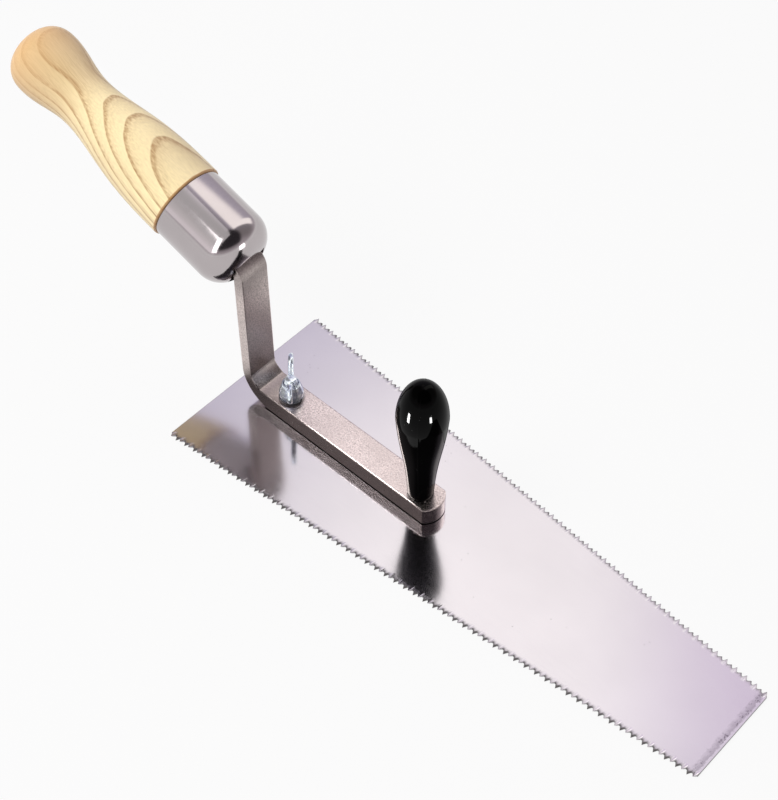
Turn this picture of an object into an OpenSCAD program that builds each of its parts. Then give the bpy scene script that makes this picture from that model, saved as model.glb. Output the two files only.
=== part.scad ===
// Undercut saw: a flat double-edged blade clamped under a cranked arm, with a turned grip and a front knob.
// Millimetres. +X runs to the blade's narrow front end, +Z is up, and the origin is the middle of the
// blade's underside.

/* [Blade] */
// Length from the wide rear end to the narrow front end
blade_length = 272; // [200:1:360]
// Width over the tooth tips at the rear end
blade_rear_width = 95.3; // [70:0.1:120]
// Width over the tooth tips at the front end
blade_front_width = 49.8; // [35:0.1:65]
// Sheet thickness
blade_thickness = 1.2; // [0.8:0.1:2]
// Distance from one tooth tip to the next
tooth_pitch = 2.54; // [2:0.02:5]
// Depth of the gullets between the teeth
tooth_depth = 1.8; // [1:0.1:2.5]

/* [Arm] */
// Width of the bar
arm_width = 15; // [12.5:0.1:20]
// Thickness of the foot that lies on the blade
foot_thickness = 9.6; // [7:0.1:12]
// Length of the foot from the back of the upright to the tip of the nose
foot_length = 111.5; // [90:0.5:150]
// Distance from the blade's rear edge to the back of the upright
heel_setback = 7.6; // [2:0.1:20]
// Thickness of the upright
bar_thickness = 5.2; // [4.8:0.1:6.5]
// Height of the upright from the blade to where it starts to bend back
upright_height = 75.6; // [60:0.1:100]
// Outside radius of the heel
heel_radius = 17; // [14:0.5:18]
// Inside radius between the foot and the upright
fold_radius = 5; // [3:0.1:8]
// Inside radius of the bend at the top of the upright
neck_radius = 3; // [2:0.1:5]
// Radius of the nose seen from above
nose_radius = 9.4; // [8:0.1:14]
// Length of full-width bar behind the top bend
shoulder_length = 6; // [4:0.1:8]
// Width of the tang inside the grip
tang_width = 9; // [7:0.1:11]
// Thickness of the tang inside the grip
tang_thickness = 4.6; // [3:0.1:4.7]
// Length of the tang behind the full-width bar
tang_length = 78; // [60:1:90]

/* [Grip] */
// Rise of the grip towards its butt, in degrees
grip_pitch = 18.5; // [10:0.5:25]
// Length of the wood behind the ferrule
grip_length = 101; // [90:0.1:120]
// Diameter of the wood at the ferrule's rim
shoulder_diameter = 36.8; // [36:0.1:40]
// Diameter at the waist
waist_diameter = 25.4; // [22:0.1:30]
// Distance from the ferrule's rim to the waist
waist_distance = 63; // [50:0.5:70]
// Diameter of the swelled butt
butt_diameter = 32.8; // [28:0.1:38]
// Length of the rounded end of the butt
butt_end = 13; // [10:0.1:18]
// Chamfer of the wood at the ferrule's rim
shoulder_chamfer = 0.9; // [0.4:0.1:1.2]

/* [Ferrule] */
// Outside diameter of the cup
ferrule_diameter = 35.2; // [33:0.1:35.6]
// Length from the rim to the tip of the dome
ferrule_length = 38; // [34:0.1:42]
// Wall of the cup
ferrule_wall = 1; // [0.8:0.1:1.6]
// Radius of the dome's shoulder
dome_radius = 12; // [9:0.1:13]
// How far the dome's tip reaches in front of the arm's top bend
dome_reach = 3.4; // [2.5:0.1:6]
// Gap round the arm in the dome's slot
slot_gap = 1.2; // [0.6:0.1:2]
// How far the slot runs down from the axis of the grip
slot_drop = 9; // [8:0.1:12]
// Gap between the front of the wood and what lies before it in the cup
spigot_gap = 1; // [0.5:0.1:3]

/* [Knob] */
// Largest diameter of the knob
knob_diameter = 22.2; // [18:0.1:28]
// Height of the knob
knob_height = 71.2; // [60:0.1:85]
// Height of the knob's widest point
knob_belly_height = 50.5; // [40:0.5:54]
// Diameter of the knob's base
knob_base_diameter = 11.4; // [11:0.1:15]
// Distance from the nose of the arm back to the knob's axis
knob_setback = 11.2; // [8.4:0.1:20]
// Outside diameter of the threaded insert
insert_diameter = 9; // [8:0.1:10]
// Thickness of the closed end of the insert
insert_end = 5; // [2:0.5:10]

/* [Fasteners] */
// Diameter of both studs
stud_diameter = 6.35; // [5:0.05:6.5]
// Diameter of the flush stud heads in the blade
stud_head_diameter = 9; // [8:0.1:12]
// Length of the front stud inside the knob
knob_thread_length = 15; // [10:0.5:20]
// Gap between the upright and the wings as they turn
wing_clearance = 4.3; // [3:0.1:40]
// Diameter of the wing nut's base
nut_diameter = 11.6; // [10:0.1:14]
// Diameter of the top of the wing nut's hub
hub_top_diameter = 8.8; // [8:0.1:9.5]
// Height of the wing nut's hub
hub_height = 8; // [6:0.1:10]
// Height of the straight collar under the hub's taper
collar_height = 2.4; // [1:0.1:4]
// Overall height of the wing nut
wing_height = 15.5; // [12:0.1:18]
// Width over the two wings
wing_span = 27; // [22:0.1:34]
// Radius of a wing's round tip
wing_tip_radius = 4.6; // [3:0.1:6]
// Thickness of a wing
wing_thickness = 2.2; // [1.5:0.1:3]
// Direction of the wings about the stud when the nut is tight
wing_turn = 133; // [0:1:180]
// Outside diameter of the lock washer
washer_diameter = 11.4; // [10:0.1:13]
// Thickness of the lock washer
washer_thickness = 1.6; // [1:0.1:2.5]
// Width of the split in the lock washer
washer_split = 0.9; // [0.4:0.1:2]
// Length of stud that shows above the wing nut
stud_end = 3; // [1:0.1:6]

/* [Fits] */
// Radial clearance of the threads, which are modelled as plain cylinders
thread_clearance = 0.05; // [0.02:0.01:0.1]
// Radial clearance of the studs in the arm's holes
hole_clearance = 0.2; // [0.1:0.05:0.4]
// Clearance of parts that are pressed or driven together
press_clearance = 0.03; // [0.01:0.01:0.05]

/* [Hidden] */
$fn = 64;
// Overrun of a cut past the face that it opens
eps = 0.01;
// Points along a turned profile and along an arc
profile_steps = 40;
arc_steps = 24;
// Power that keeps the front of the grip full, and the power of the butt's rounded end
grip_fullness = 1.6;
butt_squareness = 2.5;
// Power that keeps the knob's stem slim, and how far its taper eases at both ends
stem_slimness = 1.15;
stem_ease = 0.35;

blade_rear_x = -blade_length / 2;
edge_taper = (blade_rear_width - blade_front_width) / 2;
edge_length = norm([blade_length, edge_taper]);
tooth_count = floor(edge_length / tooth_pitch);

upright_back_x = blade_rear_x + heel_setback;
upright_front_x = upright_back_x + bar_thickness;
nose_x = upright_back_x + foot_length;
foot_top_z = blade_thickness + foot_thickness;
bend_z = blade_thickness + upright_height;
bend_x = upright_back_x - neck_radius;
bend_angle = 90 - grip_pitch;
bend_mid_radius = neck_radius + bar_thickness / 2;

// Where the bent bar settles onto the axis of the grip
neck_x = bend_x + bend_mid_radius * cos(bend_angle);
neck_z = bend_z + bend_mid_radius * sin(bend_angle);
rim_offset = ferrule_length - dome_reach;

ferrule_radius = ferrule_diameter / 2;
bore_radius = ferrule_radius - ferrule_wall;
spigot_length = min(ferrule_length - dome_radius, rim_offset - shoulder_length) - spigot_gap;
shoulder_radius = shoulder_diameter / 2;
waist_radius = waist_diameter / 2;
butt_radius = butt_diameter / 2;
butt_start = grip_length - butt_end;

stud_radius = stud_diameter / 2;
thread_radius = stud_radius + thread_clearance;
front_stud_x = nose_x - knob_setback;
rear_stud_x = upright_front_x + wing_clearance + wing_span / 2;
washer_top_z = foot_top_z + washer_thickness;
rear_stud_top_z = washer_top_z + hub_height + stud_end;
front_stud_top_z = foot_top_z + knob_thread_length;
insert_length = knob_thread_length + insert_end;
stud_chamfer = 0.7;

knob_radius = knob_diameter / 2;
knob_base_radius = knob_base_diameter / 2;

// Point at a share of the way along the near edge, set in from the tooth tips by a depth
function edge_point(share, inset) = [
    blade_rear_x + share * blade_length,
    -(blade_rear_width / 2 - share * edge_taper - inset)
];

// Gullets and tips of the near edge, from the rear end to the front end
function near_teeth() = [
    for (step = [0 : 2 * tooth_count])
        edge_point(step / (2 * tooth_count), step % 2 == 0 ? tooth_depth : 0)
];

function mirrored(points) = [
    for (index = [len(points) - 1 : -1 : 0])
        [points[index].x, -points[index].y]
];

// Radius of the grip at a distance behind the ferrule's rim
function grip_radius(distance) =
    distance < waist_distance ? front_swell(distance / waist_distance)
    : distance < butt_start ? rear_swell((distance - waist_distance) / (butt_start - waist_distance))
    : rounded_end((distance - butt_start) / butt_end);

function front_swell(share) =
    waist_radius + (shoulder_radius - waist_radius) * (1 + cos(180 * pow(share, grip_fullness))) / 2;

function rear_swell(share) =
    waist_radius + (butt_radius - waist_radius) * (1 - cos(180 * share)) / 2;

function rounded_end(share) =
    butt_radius * pow(max(0, 1 - pow(share, butt_squareness)), 1 / butt_squareness);

// Distances at which the grip's profile has a point, closer together round the butt
function grip_stations() = concat(
    [for (step = [0 : profile_steps])
        shoulder_chamfer + (butt_start - shoulder_chamfer) * step / profile_steps],
    [for (step = [1 : profile_steps / 2 - 1]) butt_start + butt_end * sin(180 * step / profile_steps)]
);

// Places its children where the bar leaves the top bend: +Z towards the butt, +X up
module on_neck() {
    translate([neck_x, 0, neck_z])
        rotate([0, -bend_angle, 0])
            children();
}

// Places its children on the axis of the grip with the origin at the ferrule's rim
module on_grip_axis() {
    on_neck()
        translate([0, 0, rim_offset])
            children();
}

module saw_blade() {
    color("#cfc8d4")
        difference() {
            linear_extrude(blade_thickness)
                polygon(concat(near_teeth(), mirrored(near_teeth())));
            for (x = [front_stud_x, rear_stud_x])
                translate([x, 0, -eps])
                    cylinder(h = blade_thickness + 2 * eps, r = stud_head_diameter / 2 + press_clearance);
        }
}

// Stud with a flush head pressed into the blade and a chamfered thread end
module blade_stud(x, top_z) {
    color("#b9c0c9")
        translate([x, 0, 0]) {
            cylinder(h = blade_thickness, r = stud_head_diameter / 2);
            cylinder(h = top_z - stud_chamfer, r = stud_radius);
            translate([0, 0, top_z - stud_chamfer])
                cylinder(h = stud_chamfer, r1 = stud_radius, r2 = stud_radius - stud_chamfer);
        }
}

module front_stud() {
    blade_stud(front_stud_x, front_stud_top_z);
}

module rear_stud() {
    blade_stud(rear_stud_x, rear_stud_top_z);
}

// Side view of the full-width bar, with X as X and Z as Y: foot, fold, upright, top bend and shoulder
function bar_outline() = concat(
    [[nose_x, blade_thickness], [nose_x, foot_top_z]],
    arc([upright_front_x + fold_radius, foot_top_z + fold_radius], fold_radius, 270, 180),
    arc([bend_x, bend_z], neck_radius + bar_thickness, 0, bend_angle),
    [for (radius = [neck_radius + bar_thickness, neck_radius]) shoulder_end(radius)],
    arc([bend_x, bend_z], neck_radius, bend_angle, 0),
    arc([upright_back_x + heel_radius, blade_thickness + heel_radius], heel_radius, 180, 270)
);

// Points of an arc from one angle to another
function arc(centre, radius, from, to) = [
    for (step = [0 : arc_steps])
        let (angle = from + (to - from) * step / arc_steps)
            centre + radius * [cos(angle), sin(angle)]
];

// Rear end of the full-width bar at a radius of the top bend
function shoulder_end(radius) =
    [bend_x, bend_z]
    + radius * [cos(bend_angle), sin(bend_angle)]
    + shoulder_length * [-sin(bend_angle), cos(bend_angle)];

// What the rounding of the nose takes off the foot
module nose_corners() {
    translate([nose_x - nose_radius, 0, blade_thickness - eps])
        difference() {
            translate([0, -arm_width, 0])
                cube([nose_radius + eps, 2 * arm_width, foot_thickness + 2 * eps]);
            translate([0, 0, -eps])
                cylinder(h = foot_thickness + 4 * eps, r = nose_radius);
        }
}

module arm() {
    color("#8d8580")
        difference() {
            union() {
                translate([0, arm_width / 2, 0])
                    rotate([90, 0, 0])
                        linear_extrude(arm_width)
                            polygon(bar_outline());
                on_neck()
                    translate([-tang_thickness / 2, -tang_width / 2, 0])
                        cube([tang_thickness, tang_width, shoulder_length + tang_length]);
            }
            nose_corners();
            for (x = [front_stud_x, rear_stud_x])
                translate([x, 0, blade_thickness - eps])
                    cylinder(h = foot_thickness + 2 * eps, r = stud_radius + hole_clearance);
        }
}

// Half section of a cup: closed and rounded at the far end, open at the near end
module cup_section(radius, length, rounding) {
    square([radius, length - rounding]);
    square([radius - rounding, length]);
    intersection() {
        translate([radius - rounding, length - rounding])
            circle(rounding);
        translate([radius - rounding, length - rounding])
            square(rounding);
    }
}

module ferrule() {
    color("#c9c4c6")
        on_grip_axis()
            difference() {
                rotate([180, 0, 0])
                    rotate_extrude()
                        difference() {
                            cup_section(ferrule_radius, ferrule_length, dome_radius);
                            translate([0, -eps])
                                cup_section(
                                    bore_radius,
                                    ferrule_length - ferrule_wall + eps,
                                    dome_radius - ferrule_wall
                                );
                        }
                translate([-slot_drop, -arm_width / 2 - slot_gap, -ferrule_length - eps])
                    cube([
                        slot_drop + bar_thickness / 2 + slot_gap,
                        arm_width + 2 * slot_gap,
                        dome_radius + eps
                    ]);
            }
}

module grip() {
    stations = grip_stations();
    spigot_radius = bore_radius - press_clearance;
    color("#e5cd9a")
        on_grip_axis()
            difference() {
                rotate_extrude()
                    polygon(concat(
                        [
                            [0, -spigot_length],
                            [spigot_radius, -spigot_length],
                            [spigot_radius, 0],
                            [shoulder_radius - shoulder_chamfer, 0]
                        ],
                        [for (distance = stations) [grip_radius(distance), distance]],
                        [[0, grip_length]]
                    ));
                translate([
                    -tang_thickness / 2 - press_clearance,
                    -tang_width / 2 - press_clearance,
                    -spigot_length - eps
                ])
                    cube([
                        tang_thickness + 2 * press_clearance,
                        tang_width + 2 * press_clearance,
                        spigot_length + eps + shoulder_length + tang_length - rim_offset + press_clearance
                    ]);
            }
}

module knob_insert() {
    color("#c9a457")
        translate([front_stud_x, 0, foot_top_z])
            difference() {
                cylinder(h = insert_length, r = insert_diameter / 2);
                translate([0, 0, -eps])
                    cylinder(h = knob_thread_length + 2 * eps + thread_clearance, r = thread_radius);
            }
}

// Half section of the knob: a tapered stem under an egg-shaped top
function knob_profile() = concat(
    [for (step = [0 : profile_steps])
        [knob_stem(step / profile_steps), knob_belly_height * step / profile_steps]],
    [for (step = [1 : profile_steps])
        [
            knob_radius * cos(90 * step / profile_steps),
            knob_belly_height + (knob_height - knob_belly_height) * sin(90 * step / profile_steps)
        ]]
);

function knob_stem(share) =
    knob_base_radius + (knob_radius - knob_base_radius) * eased(pow(share, stem_slimness));

function eased(share) = share - stem_ease * sin(360 * share) / (2 * PI);

module knob() {
    color("#141414")
        translate([front_stud_x, 0, foot_top_z])
            difference() {
                rotate_extrude()
                    polygon(concat([[0, 0]], knob_profile()));
                translate([0, 0, -eps])
                    cylinder(
                        h = insert_length + thread_clearance + eps,
                        r = insert_diameter / 2 + thread_clearance
                    );
            }
}

module lock_washer() {
    color("#9aa0a8")
        translate([rear_stud_x, 0, foot_top_z])
            difference() {
                cylinder(h = washer_thickness, r = washer_diameter / 2);
                translate([0, 0, -eps])
                    cylinder(h = washer_thickness + 2 * eps, r = thread_radius);
                translate([0, -washer_split / 2, -eps])
                    cube([washer_diameter, washer_split, washer_thickness + 2 * eps]);
            }
}

// Outline of one wing, with the stud's axis as Y: a blade that leans out to a round tip
module wing_outline() {
    tip = [wing_span / 2 - wing_tip_radius, wing_height - wing_tip_radius];
    lean = atan2(tip.y - collar_height, tip.x);
    across = wing_tip_radius * [sin(lean), -cos(lean)];
    translate(tip)
        circle(wing_tip_radius);
    polygon([[0, collar_height], tip + across, tip - across, [0, hub_height]]);
}

module wing_nut() {
    color("#c6d0da")
        translate([rear_stud_x, 0, washer_top_z])
            rotate([0, 0, wing_turn])
                difference() {
                    union() {
                        cylinder(h = collar_height, r = nut_diameter / 2);
                        translate([0, 0, collar_height])
                            cylinder(
                                h = hub_height - collar_height,
                                r1 = nut_diameter / 2,
                                r2 = hub_top_diameter / 2
                            );
                        for (side = [0, 180])
                            rotate([0, 0, side])
                                translate([0, wing_thickness / 2, 0])
                                    rotate([90, 0, 0])
                                        linear_extrude(wing_thickness)
                                            wing_outline();
                    }
                    translate([0, 0, -eps])
                        cylinder(h = wing_height + 2 * eps, r = thread_radius);
                }
}

saw_blade();
front_stud();
rear_stud();
arm();
ferrule();
grip();
knob_insert();
knob();
lock_washer();
wing_nut();
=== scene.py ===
import math

import bmesh
import bpy
import numpy as np
from bpy.props import FloatProperty, FloatVectorProperty, IntProperty, PointerProperty
from mathutils import Matrix, Vector


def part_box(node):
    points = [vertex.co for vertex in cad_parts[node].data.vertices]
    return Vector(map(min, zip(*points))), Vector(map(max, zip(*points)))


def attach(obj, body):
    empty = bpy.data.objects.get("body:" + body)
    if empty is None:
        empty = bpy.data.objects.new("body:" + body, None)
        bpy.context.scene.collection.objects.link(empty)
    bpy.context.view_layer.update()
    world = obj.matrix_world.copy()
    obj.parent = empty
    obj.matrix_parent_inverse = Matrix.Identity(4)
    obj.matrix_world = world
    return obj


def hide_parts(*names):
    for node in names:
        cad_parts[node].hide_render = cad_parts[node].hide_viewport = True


bl_info = {
    "name": "Undercut saw",
    "version": (1, 0, 0),
    "blender": (4, 5, 0),
    "location": "3D View > Sidebar > Saw",
    "description": "Builds the visible pieces and finishes of an undercut saw round its solid frame",
    "category": "Object",
}

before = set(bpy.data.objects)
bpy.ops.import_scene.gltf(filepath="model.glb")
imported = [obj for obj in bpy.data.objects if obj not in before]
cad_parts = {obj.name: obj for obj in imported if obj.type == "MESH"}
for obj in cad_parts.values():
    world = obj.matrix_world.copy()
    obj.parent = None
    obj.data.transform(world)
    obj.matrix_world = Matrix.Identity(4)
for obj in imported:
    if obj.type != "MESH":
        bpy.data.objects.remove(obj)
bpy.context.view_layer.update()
blade_low, blade_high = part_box("saw_blade")
arm_low, arm_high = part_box("arm")
knob_low, knob_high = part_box("knob")
nut_low, nut_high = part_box("wing_nut")
washer_low, washer_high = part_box("lock_washer")
rear_stud_low, rear_stud_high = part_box("rear_stud")
front_stud_low, front_stud_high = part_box("front_stud")
STUD_BOXES = {
    "front_stud": (front_stud_low, front_stud_high),
    "rear_stud": (rear_stud_low, rear_stud_high),
}

MM = 0.001
TURN = 2 * math.pi
QUARTER = math.pi / 2
SAW_BODY = "saw"

# Lengths that a user may change, in millimetres, and what each one is
LENGTHS = {
    "blade_front_width": (49.8, "Blade over the teeth at its narrow end"),
    "tooth_depth": (1.8, "Depth of a gullet below the tips"),
    "tooth_set": (0.12, "Rise of every second tip above the blade"),
    "tooth_bevel": (0.8, "Reach of the bevel filed on a tip"),
    "arm_edge": (0.5, "Rounding along the upper edges of the bar"),
    "sole_edge": (0.4, "Rounding along the lower edges of the bar"),
    "arm_width": ((arm_high.y - arm_low.y) / MM, "Width of the bar"),
    "foot_thickness": (9.6, "Thickness of the bar on the blade"),
    "foot_length": (111.5, "Back of the upright to the tip of the nose"),
    "heel_setback": (7.6, "Blade's rear end to the back of the upright"),
    "bar_thickness": (5.2, "Thickness of the upright"),
    "upright_height": (75.6, "Blade's top to the start of the top bend"),
    "heel_radius": (17, "Outside of the lower bend"),
    "fold_size": (5, "Reach of the fillet inside the lower bend"),
    "neck_radius": (3, "Inside of the top bend"),
    "nose_radius": (9.4, "Rounding of the nose, seen from above"),
    "shoulder_length": (6, "Full-width bar behind the top bend"),
    "tang_width": (9, "Width of the tang"),
    "tang_thickness": (4.6, "Thickness of the tang"),
    "tang_length": (78, "Length of the tang"),
    "grip_length": (101, "Wood behind the ferrule"),
    "shoulder_diameter": (36.8, "Wood at the ferrule's rim"),
    "waist_diameter": (25.4, "Wood at its narrowest"),
    "waist_distance": (63, "Ferrule's rim to the waist"),
    "butt_diameter": (32.8, "Wood at the swelled end"),
    "butt_end": (13, "Length of the rounded end of the wood"),
    "rim_round": (0.9, "Rounding of the wood at the ferrule"),
    "ferrule_diameter": (35.2, "Outside of the ferrule"),
    "ferrule_length": (38, "Ferrule's rim to the end of its dome"),
    "ferrule_wall": (1, "Thickness of the ferrule"),
    "dome_radius": (12, "Rounding of the ferrule's front"),
    "dome_reach": (3.4, "Dome's end past the neck of the arm"),
    "slot_gap": (1.2, "Room round the bar in the ferrule's slot"),
    "slot_drop": (7.6, "Reach of the slot below the grip's axis"),
    "spigot_length": (25, "Wood inside the ferrule"),
    "knob_diameter": ((knob_high.y - knob_low.y) / MM, "Knob at its widest"),
    "knob_belly": (50.5, "Height of the knob's widest point"),
    "knob_base": (11.4, "Knob where it meets the arm"),
    "insert_diameter": (9.1, "Hole for the knob's threaded insert"),
    "insert_depth": (20.05, "Depth of that hole"),
    "stud_diameter": (6.35, "Outside of the thread"),
    "stud_head": (9, "Flush head in the blade"),
    "thread_pitch": (1.27, "Rise of the thread in a turn"),
    "thread_depth": (0.55, "Depth of the thread"),
    "hub_base": (11, "Wing nut where it rests"),
    "hub_top": (8.2, "Wing nut at the top of its hub"),
    "hub_height": (8, "Height of the wing nut's hub"),
    "collar_height": (2.4, "Straight foot of the hub"),
    "wing_span": (27, "Wing nut from tip to tip"),
    "wing_tip": (4.6, "Rounding of a wing's tip"),
    "wing_thickness": (2.2, "Thickness of a wing"),
    "washer_split": (0.9, "Gap of the spring washer"),
}

# Linear colours of the finishes, and what each one is
FINISH_COLOURS = {
    "blade": ((0.72, 0.69, 0.73), "Bright satin steel"),
    # The colour of the tips and cut ends is painted shade and painted dark reflection
    "filed": ((0.13, 0.12, 0.12), "Filed bevels and cut ends of the blade"),
    "arm": ((0.66, 0.57, 0.545), "Blasted grey casting"),
    "ferrule": ((0.47, 0.43, 0.435), "Polished metal"),
    "sapwood": ((0.96, 0.79, 0.46), "Late wood between the rings"),
    "ringwood": ((0.34, 0.155, 0.045), "Porous early wood of a ring"),
    "knob": ((0.0002, 0.0002, 0.0002), "Gloss black"),
    "zinc": ((0.72, 0.78, 1.0), "Bright bluish plate"),
    "spring": ((0.33, 0.34, 0.37), "Plain spring steel of the washer"),
    "brass": ((0.66, 0.47, 0.18), "Machined brass of the insert"),
}
SCUFFED = (0.80, 0.80, 0.82)
GRIMY = (0.24, 0.22, 0.25)
STAINED = (0.28, 0.27, 0.28)
CRYSTAL = (0.75, 0.70, 0.67)
SEAM_SHADE = (0.012, 0.011, 0.010)
DUST = (0.10, 0.10, 0.10)

# Linear colours of what lies round the saw, and what each one is
STAGE_COLOURS = {
    "room": ((0.56, 0.51, 0.54), "Studio"),
    "wall": ((0.70, 0.66, 0.77), "Pale wall across from the camera"),
    "softbox": ((1.0, 0.97, 0.94), "Softbox on that wall, and the overhead strip"),
    "violet": ((0.80, 0.68, 0.84), "Wall beside the softbox"),
    "shade": ((0.04, 0.035, 0.04), "Dark room behind the camera"),
    "corner": ((0.19, 0.175, 0.17), "Dark corners of the room, left and right"),
    "ground": ((1, 1, 1), "Below the horizon, past the floor"),
    "floor": ((0.50, 0.49, 0.49), "Floor as the lamps light it"),
    "backdrop": ((0.94, 0.94, 0.94), "What the camera sees past the floor"),
}

# Finishes that have lamps of their own, with their material slots
LAMP_SLOTS = {
    "black": ("black_phenolic",),
    "bright": ("polished_ferrule", "zinc_plate"),
    "grainy": ("arm_casting",),
    "plated": ("zinc_plate",),
}
# Name, target, azimuth, elevation and distance from it, width, height, radiance, finish that alone shows it
LAMPS = (
    ("tall_window", "knob", -104, -22, 0.12, 0.017, 0.034, 245, "black"),
    ("small_window", "knob", -17, -19, 0.12, 0.016, 0.022, 245, "black"),
    ("side_softbox", "dome", -106, 50, 0.5, 0.60, 0.80, 0.70, "bright"),
    ("side_window", "dome", -79, 36, 0.45, 0.13, 0.36, 3.2, "bright"),
    ("front_window", "dome", 8, 2, 0.4, 0.10, 0.10, 4, "bright"),
    ("nut_softbox", "nut", -38, 30, 0.3, 0.26, 0.22, 0.55, "plated"),
    ("rear_softbox", "saw", 178, 60, 1.2, 0.5, 0.5, 12, "grainy"),
    ("fill_softbox", "saw", -122, 50, 1.6, 0.8, 0.8, 11.2, None),
)
KNOB_TARGET_RISE = 25 * MM
DOME_TARGET_SHARE = 0.9
# Colour, azimuth and elevation of a lobe, the angles from its middle where it starts and is full, its
# strength, and whether only its part well above the horizon shows. That keeps flat steel bright from
# every low side
LOBES = (
    ("wall", 122, 50, 60, 15, 1, False),
    ("corner", -138, 46, 46, 26, 1, True),
    ("corner", 48, 40, 36, 12, 0.65, False),
    ("shade", -36, 43, 50, 36, 1, True),
    ("softbox", 127, 58, 12, 1, 1, False),
    ("violet", 102, 56, 10, 1, 1, False),
    ("ground", 0, -90, 102, 93, 1, False),
)
# Between these heights of a unit vector such a lobe comes in. The overhead strip has borders in X, Y and Z
ALOFT = (0.24, 0.42)
STRIP_MIDDLE = 0.09
STRIP_BORDERS = ((0.20, 0.14), (0.12, 0.22), (0.22, 0.34))
FLOOR_HALF = 6.0
FLOOR_HEIGHT = -0.2 * MM
GLOW_SHARE = 0.92
FIRST_REFLECTION = 1.5
SENSOR_WIDTH = 36
CAMERA_PLACE = (253.11 * MM, -326.22 * MM, 602.38 * MM)
CAMERA_SIGHT = (-0.4265, 0.4644, -0.7762)

# Ranges that most of a noise lies in, and how far hairlines are stretched
NOISE_RANGE = (0.3, 0.7)
NOISE_CORE = (0.35, 0.65)
LINE_STRETCH = 50
# Reach of the painted shade inside the lower bend; a third of it is the height over the foot where the arm
# grows rougher
FOLD_SHADE_AND_DULL = 24 * MM
BUFFING_RADIUS = 20 * MM
PITH_DISTANCE = 44 * MM
GRAIN_TURN = math.radians(5)
GRAIN_TILT = math.radians(-8)
GRAIN_SWAY = 3.5 * MM
RING_SPACING = 4 * MM
# Shares of a ring's width, and how porous the wood is there
RING_PROFILE = ((0, 1), (0.10, 0.88), (0.22, 0.36), (0.50, 0.12), (0.96, 0), (1, 0.8))

MERGE_DISTANCE = 1e-3 * MM
TINY = 1e-9
FLAT_SHARE = 0.4
EDGE_STEPS = 5

# Point attribute marking the blade's cut outline: painted shade and painted dark reflection in its colour,
# wear in its roughness
WORN_AND_SHADED = "worn"
SET_TOOTH_WORN_AND_SHADED = 0.85
# Places and depths of a tooth's stations, as shares of its pitch and of a gullet
TOOTH_PLACES = (0, 0.13, 0.5, 0.87)
TOOTH_DEPTHS = (1, 0.9, 0, 0.9)
# Columns of the blade's cross-section: its teeth, and the two either side of the strip with the holes
TOOTH_COLUMNS = [0, 5, 6, 11]
HOLE_COLUMNS = ((2, 3), (9, 8))
HOLE_BAND = 9 * MM
HOLE_ROOM = 0.03 * MM

NOSE_ROWS = 14
FOOT_ROWS = 10
BEND_ROWS = 20
NECK_ROWS = 16
CREASE_ROWS = 7
FILLET_SAG = 0.12
CREASE_RISE = 0.22 * MM
CREASE_WIDTH = 1 * MM
TANG_POINT = 3 * MM
TANG_TAPER = (1, 1, 0.6)

FERRULE_COLUMNS = 128
DOME_ROWS = 28
LIP_ROUND = 0.25 * MM
RIM_ROUND = 0.25 * MM

GRIP_COLUMNS = 112
BODY_ROWS = 110
BUTT_ROWS = 36
RIM_ROWS = 8
SPIGOT_ROOM = 0.03 * MM
GRIP_FULLNESS = 1.6
BUTT_SQUARENESS = 2.5

KNOB_COLUMNS = 96
STEM_ROWS = 70
HEAD_ROWS = 48
KNOB_PLAIN_ROWS = 5
STEM_SLIMNESS = 1.15
STEM_EASE = 0.35
FOOT_ROUND = 0.35 * MM
MOULD_LINE = math.radians(-58)
MOULD_LINE_ANGLE = math.radians(2.2)
MOULD_LINE_STEPS = 5
MOULD_LINE_RISE = 0.10 * MM

STUD_COLUMNS = 40
STUD_TIP = 0.9 * MM
TIP_ROWS = 9
THREAD_ROWS = 10
THREAD_SLOPE = 1.25
THREAD_ROOT = 0.1
HEAD_EDGE = 0.12 * MM

WASHER_ROWS = 72
WASHER_ROOM = 0.08 * MM
WASHER_EDGE = 0.2 * MM
WASHER_SLANT = 90

NUT_COLUMNS = 96
NUT_ROOM = 0.18 * MM
NUT_EDGE = 0.5 * MM
NUT_VOXEL = 0.16 * MM
NUT_SOFTENING = 6
WING_STEPS = 24
WING_BOW_STEPS = 9
WING_ROOT = 2.6 * MM
WING_ROOT_RISE = 0.3 * MM
WING_ROOT_RADIUS = 2.9 * MM
WING_THICKENING = 0.25


def label(name):
    """A property's name as a person reads it."""
    return name.replace("_", " ").capitalize()


def length_property(name, millimetres, about):
    """A length that shows in the user's own unit."""
    return FloatProperty(
        name=label(name), description=about, default=millimetres * MM, min=0, precision=5,
        subtype="DISTANCE", unit="LENGTH",
    )


def angle_property(name, degrees, about):
    """An angle, given in degrees."""
    return FloatProperty(name=label(name), description=about, default=math.radians(degrees), subtype="ANGLE")


def colour_property(name, colour, about):
    """A linear colour."""
    return FloatVectorProperty(
        name=label(name), description=about, default=colour, min=0, max=1, size=3, subtype="COLOR"
    )


class SawSizes(bpy.types.PropertyGroup):
    """Sizes of the visible pieces"""

    __annotations__ = {name: length_property(name, *row) for name, row in LENGTHS.items()}
    tooth_count: IntProperty(name="Tooth count", description="Teeth along each long edge", default=107, min=8)
    grip_pitch: angle_property("grip_pitch", 18.5, "Rise of the grip towards its butt")
    wing_turn: angle_property("wing_turn", 133, "Angle of the tightened wing nut")


class SawFinishes(bpy.types.PropertyGroup):
    """Colours of the finishes"""

    __annotations__ = {name: colour_property(name, *row) for name, row in FINISH_COLOURS.items()}


class SawStage(bpy.types.PropertyGroup):
    """The floor, the room round it and the camera"""

    __annotations__ = {name: colour_property(name, *row) for name, row in STAGE_COLOURS.items()}
    softbox_strength: FloatProperty(
        name="Softbox strength", description="Radiance of the softbox", default=1.25
    )
    strip_strength: FloatProperty(name="Strip strength", description="Radiance of the strip", default=1.8)
    lens: FloatProperty(
        name="Lens", description="Focal length in millimetres", default=76.97, unit="CAMERA"
    )


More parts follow.
